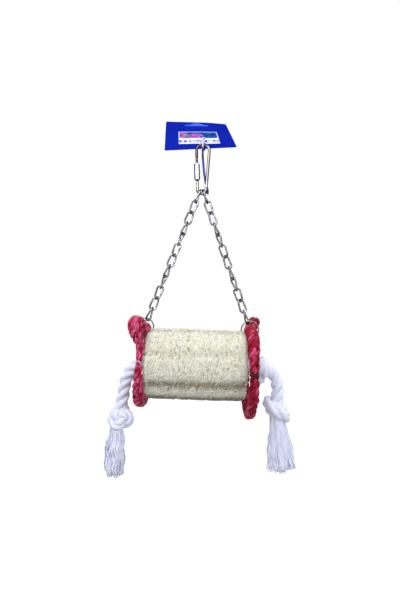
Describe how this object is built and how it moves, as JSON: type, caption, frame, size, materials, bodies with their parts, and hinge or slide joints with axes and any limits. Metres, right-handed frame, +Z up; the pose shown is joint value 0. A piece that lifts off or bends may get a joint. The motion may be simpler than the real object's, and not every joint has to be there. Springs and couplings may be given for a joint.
{
  "type": "bird swing",
  "caption": "Hanging bird swing: a loofah perch on a cotton rope with knotted tassels and braided side rings, hung by two twisted chains from a quick link with a header card.",
  "frame": {"origin": "centre of the quick link's top arc, where the swing hangs on a hook or cage bar", "axes": "+X along the perch to the viewer's right, +Y away from the viewer through the eye, +Z up"},
  "size_m": [0.2097, 0.1386, 0.4342],
  "materials": {
    "zinc_steel": "bright zinc plate, slightly blue-grey",
    "chain_steel": "bright plated wire with dark shaded insides",
    "split_ring_steel": "bright nickel plate",
    "tie_plastic": "glossy royal blue",
    "printed_card": null,
    "red_braid": "dyed crimson twisted leaf, satin",
    "white_thread": "white cotton thread",
    "red_thread": "dark red thread",
    "loofah_fibre": "cream fibrous net with brown seed marks",
    "cotton_rope": "white three-strand cotton with a lavender tint"
  },
  "bodies": {
    "quick_link": {"quick_link": "zinc_steel", "tie_strap": "tie_plastic"},
    "nut": {"quick_link_nut": "zinc_steel"},
    "card": {"header_card": "printed_card"},
    "perch": {"loofah": "loofah_fibre", "rope_core": "cotton_rope"},
    "left_link_01": {"left_link_01": "chain_steel"},
    "left_link_02": {"left_link_02": "chain_steel"},
    "left_link_03": {"left_link_03": "chain_steel"},
    "left_link_04": {"left_link_04": "chain_steel"},
    "left_link_05": {"left_link_05": "chain_steel"},
    "left_link_06": {"left_link_06": "chain_steel"},
    "left_link_07": {"left_link_07": "chain_steel"},
    "left_link_08": {"left_link_08": "chain_steel"},
    "left_link_09": {"left_link_09": "chain_steel"},
    "left_link_10": {"left_link_10": "chain_steel"},
    "left_link_11": {"left_link_11": "chain_steel"},
    "left_link_12": {"left_link_12": "chain_steel"},
    "right_link_01": {"right_link_01": "chain_steel"},
    "right_link_02": {"right_link_02": "chain_steel"},
    "right_link_03": {"right_link_03": "chain_steel"},
    "right_link_04": {"right_link_04": "chain_steel"},
    "right_link_05": {"right_link_05": "chain_steel"},
    "right_link_06": {"right_link_06": "chain_steel"},
    "right_link_07": {"right_link_07": "chain_steel"},
    "right_link_08": {"right_link_08": "chain_steel"},
    "right_link_09": {"right_link_09": "chain_steel"},
    "right_link_10": {"right_link_10": "chain_steel"},
    "right_link_11": {"right_link_11": "chain_steel"},
    "right_link_12": {"right_link_12": "chain_steel"},
    "left_wire_ring": {"left_wire_ring": "split_ring_steel"},
    "left_red_ring": {"left_red_ring": "red_braid", "left_binding_thread": "white_thread"},
    "right_wire_ring": {"right_wire_ring": "split_ring_steel"},
    "right_red_ring": {"right_red_ring": "red_braid", "right_binding_thread": "red_thread"},
    "left_tail": {"left_rope_tail": "cotton_rope", "left_end_knot": "cotton_rope", "left_tassel": "cotton_rope"},
    "right_tail": {"right_rope_tail": "cotton_rope", "right_inner_knot": "cotton_rope", "right_end_knot": "cotton_rope", "right_tassel": "cotton_rope"}
  },
  "joints": [
    {"name": "nut_slide", "type": "slide", "parent": "quick_link", "child": "nut", "axis": [-0.0366, 0, 0.9993], "range_m": [0, 0.0063]},
    {"name": "card_tilt", "type": "hinge", "parent": "quick_link", "child": "card", "pos_m": [0, 0.03181, 0.0283], "axis": [1, 0, 0], "range_deg": [0, 6]},
    {"name": "swing", "type": "hinge", "parent": "quick_link", "child": "perch", "pos_m": [0, 0, -0.04566], "axis": [1, 0, 0], "range_deg": [-35, 35]},
    {"name": "left_link_01_swing", "type": "hinge", "parent": "quick_link", "child": "left_link_01", "pos_m": [0, 0, -0.04566], "axis": [1, 0, 0], "range_deg": [-35, 35]},
    {"name": "left_link_02_turn", "type": "hinge", "parent": "left_link_01", "child": "left_link_02", "pos_m": [-0.0013, 0, -0.04308], "axis": [-0.3485, 0, -0.9373], "range_deg": [-6, 6]},
    {"name": "left_link_03_turn", "type": "hinge", "parent": "left_link_02", "child": "left_link_03", "pos_m": [-0.0013, 0, -0.04308], "axis": [-0.3485, 0, -0.9373], "range_deg": [-6, 6]},
    {"name": "left_link_04_turn", "type": "hinge", "parent": "left_link_03", "child": "left_link_04", "pos_m": [-0.0013, 0, -0.04308], "axis": [-0.3485, 0, -0.9373], "range_deg": [-6, 6]},
    {"name": "left_link_05_turn", "type": "hinge", "parent": "left_link_04", "child": "left_link_05", "pos_m": [-0.0013, 0, -0.04308], "axis": [-0.3485, 0, -0.9373], "range_deg": [-6, 6]},
    {"name": "left_link_06_turn", "type": "hinge", "parent": "left_link_05", "child": "left_link_06", "pos_m": [-0.0013, 0, -0.04308], "axis": [-0.3485, 0, -0.9373], "range_deg": [-6, 6]},
    {"name": "left_link_07_turn", "type": "hinge", "parent": "left_link_06", "child": "left_link_07", "pos_m": [-0.0013, 0, -0.04308], "axis": [-0.3485, 0, -0.9373], "range_deg": [-6, 6]},
    {"name": "left_link_08_turn", "type": "hinge", "parent": "left_link_07", "child": "left_link_08", "pos_m": [-0.0013, 0, -0.04308], "axis": [-0.3485, 0, -0.9373], "range_deg": [-6, 6]},
    {"name": "left_link_09_turn", "type": "hinge", "parent": "left_link_08", "child": "left_link_09", "pos_m": [-0.0013, 0, -0.04308], "axis": [-0.3485, 0, -0.9373], "range_deg": [-6, 6]},
    {"name": "left_link_10_turn", "type": "hinge", "parent": "left_link_09", "child": "left_link_10", "pos_m": [-0.0013, 0, -0.04308], "axis": [-0.3485, 0, -0.9373], "range_deg": [-6, 6]},
    {"name": "left_link_11_turn", "type": "hinge", "parent": "left_link_10", "child": "left_link_11", "pos_m": [-0.0013, 0, -0.04308], "axis": [-0.3485, 0, -0.9373], "range_deg": [-6, 6]},
    {"name": "left_link_12_turn", "type": "hinge", "parent": "left_link_11", "child": "left_link_12", "pos_m": [-0.0013, 0, -0.04308], "axis": [-0.3485, 0, -0.9373], "range_deg": [-6, 6]},
    {"name": "right_link_01_swing", "type": "hinge", "parent": "quick_link", "child": "right_link_01", "pos_m": [0, 0, -0.04566], "axis": [1, 0, 0], "range_deg": [-35, 35]},
    {"name": "right_link_02_turn", "type": "hinge", "parent": "right_link_01", "child": "right_link_02", "pos_m": [0.0013, 0, -0.04308], "axis": [0.3485, 0, -0.9373], "range_deg": [-6, 6]},
    {"name": "right_link_03_turn", "type": "hinge", "parent": "right_link_02", "child": "right_link_03", "pos_m": [0.0013, 0, -0.04308], "axis": [0.3485, 0, -0.9373], "range_deg": [-6, 6]},
    {"name": "right_link_04_turn", "type": "hinge", "parent": "right_link_03", "child": "right_link_04", "pos_m": [0.0013, 0, -0.04308], "axis": [0.3485, 0, -0.9373], "range_deg": [-6, 6]},
    {"name": "right_link_05_turn", "type": "hinge", "parent": "right_link_04", "child": "right_link_05", "pos_m": [0.0013, 0, -0.04308], "axis": [0.3485, 0, -0.9373], "range_deg": [-6, 6]},
    {"name": "right_link_06_turn", "type": "hinge", "parent": "right_link_05", "child": "right_link_06", "pos_m": [0.0013, 0, -0.04308], "axis": [0.3485, 0, -0.9373], "range_deg": [-6, 6]},
    {"name": "right_link_07_turn", "type": "hinge", "parent": "right_link_06", "child": "right_link_07", "pos_m": [0.0013, 0, -0.04308], "axis": [0.3485, 0, -0.9373], "range_deg": [-6, 6]},
    {"name": "right_link_08_turn", "type": "hinge", "parent": "right_link_07", "child": "right_link_08", "pos_m": [0.0013, 0, -0.04308], "axis": [0.3485, 0, -0.9373], "range_deg": [-6, 6]},
    {"name": "right_link_09_turn", "type": "hinge", "parent": "right_link_08", "child": "right_link_09", "pos_m": [0.0013, 0, -0.04308], "axis": [0.3485, 0, -0.9373], "range_deg": [-6, 6]},
    {"name": "right_link_10_turn", "type": "hinge", "parent": "right_link_09", "child": "right_link_10", "pos_m": [0.0013, 0, -0.04308], "axis": [0.3485, 0, -0.9373], "range_deg": [-6, 6]},
    {"name": "right_link_11_turn", "type": "hinge", "parent": "right_link_10", "child": "right_link_11", "pos_m": [0.0013, 0, -0.04308], "axis": [0.3485, 0, -0.9373], "range_deg": [-6, 6]},
    {"name": "right_link_12_turn", "type": "hinge", "parent": "right_link_11", "child": "right_link_12", "pos_m": [0.0013, 0, -0.04308], "axis": [0.3485, 0, -0.9373], "range_deg": [-6, 6]},
    {"name": "left_wire_ring_turn", "type": "hinge", "parent": "perch", "child": "left_wire_ring", "pos_m": [-0.05785, 0, -0.19515], "axis": [0, 1, 0], "continuous": true},
    {"name": "left_red_ring_sway", "type": "hinge", "parent": "perch", "child": "left_red_ring", "pos_m": [-0.0585, 0, -0.19645], "axis": [1, 0, 0], "range_deg": [-12, 12]},
    {"name": "left_tail_sway", "type": "hinge", "parent": "perch", "child": "left_tail", "pos_m": [-0.052, 0, -0.23445], "axis": [1, 0, 0], "range_deg": [-30, 30]},
    {"name": "right_wire_ring_turn", "type": "hinge", "parent": "perch", "child": "right_wire_ring", "pos_m": [0.05785, 0, -0.19515], "axis": [0, 1, 0], "continuous": true},
    {"name": "right_red_ring_sway", "type": "hinge", "parent": "perch", "child": "right_red_ring", "pos_m": [0.0585, 0, -0.19645], "axis": [1, 0, 0], "range_deg": [-12, 12]},
    {"name": "right_tail_sway", "type": "hinge", "parent": "perch", "child": "right_tail", "pos_m": [0.052, 0, -0.23445], "axis": [1, 0, 0], "range_deg": [-30, 30]}
  ],
  "couplings": [
    {"joint": "left_link_01_swing", "follows": "swing", "ratio": 1},
    {"joint": "left_link_03_turn", "follows": "left_link_02_turn", "ratio": 1},
    {"joint": "left_link_04_turn", "follows": "left_link_02_turn", "ratio": 1},
    {"joint": "left_link_05_turn", "follows": "left_link_02_turn", "ratio": 1},
    {"joint": "left_link_06_turn", "follows": "left_link_02_turn", "ratio": 1},
    {"joint": "left_link_07_turn", "follows": "left_link_02_turn", "ratio": -0.83333},
    {"joint": "left_link_08_turn", "follows": "left_link_02_turn", "ratio": -0.83333},
    {"joint": "left_link_09_turn", "follows": "left_link_02_turn", "ratio": -0.83333},
    {"joint": "left_link_10_turn", "follows": "left_link_02_turn", "ratio": -0.83333},
    {"joint": "left_link_11_turn", "follows": "left_link_02_turn", "ratio": -0.83333},
    {"joint": "left_link_12_turn", "follows": "left_link_02_turn", "ratio": -0.83333},
    {"joint": "right_link_01_swing", "follows": "swing", "ratio": 1},
    {"joint": "right_link_03_turn", "follows": "right_link_02_turn", "ratio": 1},
    {"joint": "right_link_04_turn", "follows": "right_link_02_turn", "ratio": 1},
    {"joint": "right_link_05_turn", "follows": "right_link_02_turn", "ratio": 1},
    {"joint": "right_link_06_turn", "follows": "right_link_02_turn", "ratio": 1},
    {"joint": "right_link_07_turn", "follows": "right_link_02_turn", "ratio": -0.83333},
    {"joint": "right_link_08_turn", "follows": "right_link_02_turn", "ratio": -0.83333},
    {"joint": "right_link_09_turn", "follows": "right_link_02_turn", "ratio": -0.83333},
    {"joint": "right_link_10_turn", "follows": "right_link_02_turn", "ratio": -0.83333},
    {"joint": "right_link_11_turn", "follows": "right_link_02_turn", "ratio": -0.83333},
    {"joint": "right_link_12_turn", "follows": "right_link_02_turn", "ratio": -0.83333}
  ]
}
